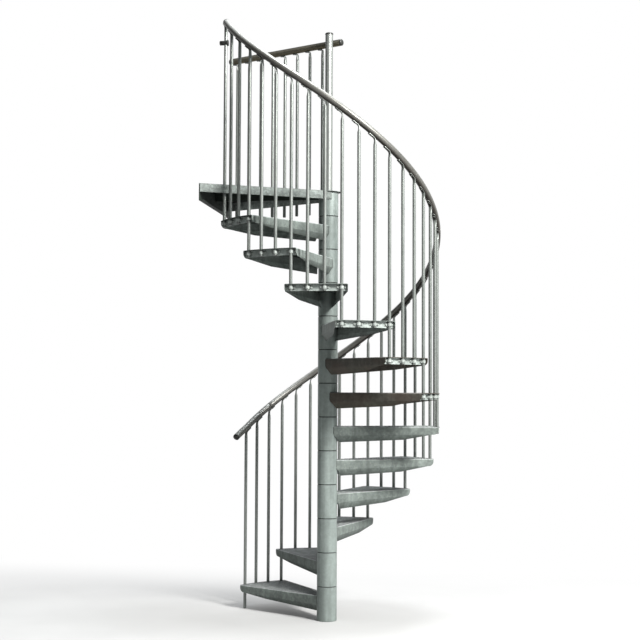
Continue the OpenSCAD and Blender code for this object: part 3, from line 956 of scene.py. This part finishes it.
def build_wall_tie():
    """Stub that ties the last baluster to the wall, with a collar and a set screw."""
    stub = lathe([(TIE_R - 0.001, -TIE_L), (TIE_R, -TIE_L + 0.001), (TIE_R, TIE_COLLAR_T - 0.001),
                  (TIE_R - 0.001, TIE_COLLAR_T)], 32)
    collar_r = TIE_R + TIE_COLLAR_RISE
    start, end = TIE_COLLAR_AT, TIE_COLLAR_AT + TIE_COLLAR_T
    collar = lathe([(collar_r - 0.001, start), (collar_r, start + 0.001), (collar_r, end - 0.001),
                    (collar_r - 0.001, end)], 32)
    shape = stub.put(collar)
    a = math.radians(baluster_angle(LAST))
    post = moved(BALUSTER_R * math.cos(a), BALUSTER_R * math.sin(a), LANDING_Z + TIE_H)
    tie = Shape().put(shape, post @ turned(90, "Y"))
    screw = post @ moved(-TIE_SCREW_IN, 0, 0) @ turned(90, "X") @ moved(0, 0, TIE_R)
    tie.put(pan_screw(0.0045, 0.003), screw)
    make("tie", tie, [CAP_DARK], ["wall_tie"])


# ---- Landing ----

def landing_line(angle, offset, x):
    """Point at x on a landing edge's line, which runs offset to the side of a ray at the angle."""
    t = math.radians(angle)
    ray = Vector((math.cos(t), math.sin(t), 0))
    side = Vector((-math.sin(t), math.cos(t), 0))
    start = side * offset
    return start + ray * ((x - start.x) / ray.x)


def on_landing(x, y):
    """Whether a pip fits at a place on the landing's sheet."""
    t = math.tan(math.radians(LANDING_ANGLE))
    c = math.cos(math.radians(LANDING_ANGLE))
    front = -(-x * t + FRONT_OFFSET / c)
    back = -x * t + BACK_OFFSET / c
    px = BALUSTER_R * math.cos(math.radians(LAST_ANGLE))
    py = BALUSTER_R * math.sin(math.radians(LAST_ANGLE))
    clear = math.hypot(x - px, y - py) > PIP_POST_ROOM and math.hypot(x, y) > PIP_COLLAR_R
    return front + PIP_FRONT_ROOM < y < back - PIP_BACK_ROOM and x > PIP_EXIT_ROOM - EXIT_X and clear


def build_landing():
    dress("landing_sheet", LANDING_ZINC)
    for node in ("landing_exit_beam", "landing_rib"):
        dress(node, BEAM_ZINC)
    pips = Shape().put(pips_where(on_landing, (-EXIT_X, -0.02), (-0.46, 0.42)), moved(0, 0, LANDING_Z))
    make("landing_pips", pips, [LANDING_ZINC, SHADOW])

    plates = (
        ("front_plate", "landing_front_edge", 180 + LANDING_ANGLE, FRONT_OFFSET - SHEET / 2, FRONT_H,
         FRONT_OFFSET * math.sin(math.radians(LANDING_ANGLE))),
        ("back_plate", "landing_back_edge", 180 - LANDING_ANGLE, -BACK_OFFSET + SHEET / 2, BACK_H, -0.052),
    )
    for name, node, angle, offset, height, inner_x in plates:
        drop = Vector((0, 0, LANDING_Z - SHEET - (height - SHEET) / 2))
        inner = landing_line(angle, offset, inner_x) + drop
        outer = landing_line(angle, offset, -EXIT_X + EXIT_T + 0.001) + drop
        plate = bar(inner, outer, SHEET, height - SHEET)
        make(name, plate, [LANDING_ZINC], [node])

    welds = Shape()
    rounds = (
        (HUB_R + EASE, LANDING_Z - SHEET - 0.0008, 72, 3),
        (POLE_R + 0.001, LANDING_Z + 0.0006, 60, 9),
    )
    for radius, height, steps, seed in rounds:
        turns = (2 * math.pi * i / steps for i in range(steps + 1))
        path = [Vector((radius * math.cos(a), radius * math.sin(a), height)) for a in turns]
        welds.put(bead(path, WELD_BEAD_R, Vector((0, 0, 1)), seed))
    make("landing_welds", welds, [WELD_ZINC])


# ---- Stage ----

CAMERA_PLACE = Vector((1.051, -7.984, 1.436))
CAMERA_LENS = 72.05
CAMERA_YAW = -0.00623
CAMERA_PITCH = 0.05383
CAMERA_ROLL = 0.00464
VIEW_TURN = 7.5
FLOOR_R = 14.0
FLOOR_SIDES = 96
# Name, place, target, diameter, power and colour of each lamp
LAMPS = (
    ("key", (5.5, -5.0, 6.5), (0.0, 0.0, 1.6), 2.6, 1900, (1.0, 0.99, 0.965)),
    ("top", (0.6, -0.6, 8.0), (0.0, 0.0, 1.8), 2.2, 300, (0.95, 0.98, 1.0)),
)


def build_camera():
    data = bpy.data.cameras.new("camera")
    data.lens = CAMERA_LENS
    data.sensor_width = 36.0
    data.clip_end = 100.0
    camera = bpy.data.objects.new("camera", data)
    bpy.context.scene.collection.objects.link(camera)
    spin = turned(VIEW_TURN).to_3x3()
    ahead = spin @ Vector((
        math.sin(CAMERA_YAW) * math.cos(CAMERA_PITCH),
        math.cos(CAMERA_YAW) * math.cos(CAMERA_PITCH),
        math.sin(CAMERA_PITCH),
    ))
    right = spin @ Vector((math.cos(CAMERA_YAW), -math.sin(CAMERA_YAW), 0))
    up = right.cross(ahead)
    c, s = math.cos(CAMERA_ROLL), math.sin(CAMERA_ROLL)
    right, up = right * c + up * s, up * c - right * s
    basis = Matrix((right, up, -ahead)).transposed().to_4x4()
    camera.matrix_world = Matrix.Translation(CAMERA_PLACE) @ basis
    bpy.context.scene.camera = camera


def area_light(name, place, target, size, power, colour):
    data = bpy.data.lights.new(name, "AREA")
    data.shape = "DISK"
    data.size = size
    data.energy = power
    data.color = colour
    light = bpy.data.objects.new(name, data)
    bpy.context.scene.collection.objects.link(light)
    light.location = place
    light.rotation_euler = (Vector(target) - Vector(place)).to_track_quat("-Z", "Y").to_euler()


def build_world():
    """Studio light: white behind the stair, mid grey on its right, near black on its left, paler above."""
    world = bpy.data.worlds.new("studio")
    bpy.context.scene.world = world
    n = Nodes(world)
    way = n.new("ShaderNodeTexCoord").outputs["Generated"]
    parts = n.new("ShaderNodeSeparateXYZ", {0: way})
    behind = n.range(parts.outputs["Y"], 0.35, 0.75)
    right = n.range(parts.outputs["X"], -0.15, 0.55)
    above = n.range(parts.outputs["Z"], 0.1, 0.9, 0.0, 0.45)
    side = n.mix(right, (0.018, 0.020, 0.018, 1), (0.50, 0.54, 0.53, 1))
    side = n.mix(above, side, (0.80, 0.83, 0.85, 1))
    colour = n.mix(behind, side, (1.0, 1.0, 1.0, 1))
    background = n.new("ShaderNodeBackground", {"Color": colour, "Strength": 1.0})
    n.new("ShaderNodeOutputWorld", {"Surface": background.outputs[0]})


def build_floor():
    """Pale matt floor that turns to the white of the backdrop behind the stair, so no horizon shows."""
    material = bpy.data.materials.new("floor_pale")
    n = Nodes(material)
    place = n.new("ShaderNodeTexCoord").outputs["Object"]
    shade = n.range(n.noise(place, 1.2, 3.0), 0.3, 0.7, 0.46, 0.50)
    colour = n.new("ShaderNodeCombineColor", {0: shade, 1: shade, 2: shade}).outputs[0]
    matt = n.new("ShaderNodeBsdfPrincipled", {"Base Color": colour, "Roughness": 0.85})
    white = n.new("ShaderNodeEmission", {"Color": (1.0, 1.0, 1.0, 1.0), "Strength": 1.0})
    depth = n.new("ShaderNodeSeparateXYZ", {0: place}).outputs["Y"]
    fade = n.range(depth, -0.2, 2.4)
    blend = n.new("ShaderNodeMixShader", {0: fade, 1: matt.outputs[0], 2: white.outputs[0]})
    n.new("ShaderNodeOutputMaterial", {"Surface": blend.outputs[0]})
    mesh = bpy.data.meshes.new("floor")
    mesh.from_pydata([tuple(p) for p in ring(FLOOR_R, 0.0, FLOOR_SIDES)], [], [tuple(range(FLOOR_SIDES))])
    mesh.materials.append(material)
    floor = bpy.data.objects.new("floor", mesh)
    bpy.context.scene.collection.objects.link(floor)


build_column()
build_treads()
build_balusters()
build_rails()
build_wall_tie()
build_landing()
build_floor()
build_world()
build_camera()
for lamp in LAMPS:
    area_light(*lamp)
bpy.context.scene.view_settings.view_transform = "Standard"

bpy.context.view_layer.update()
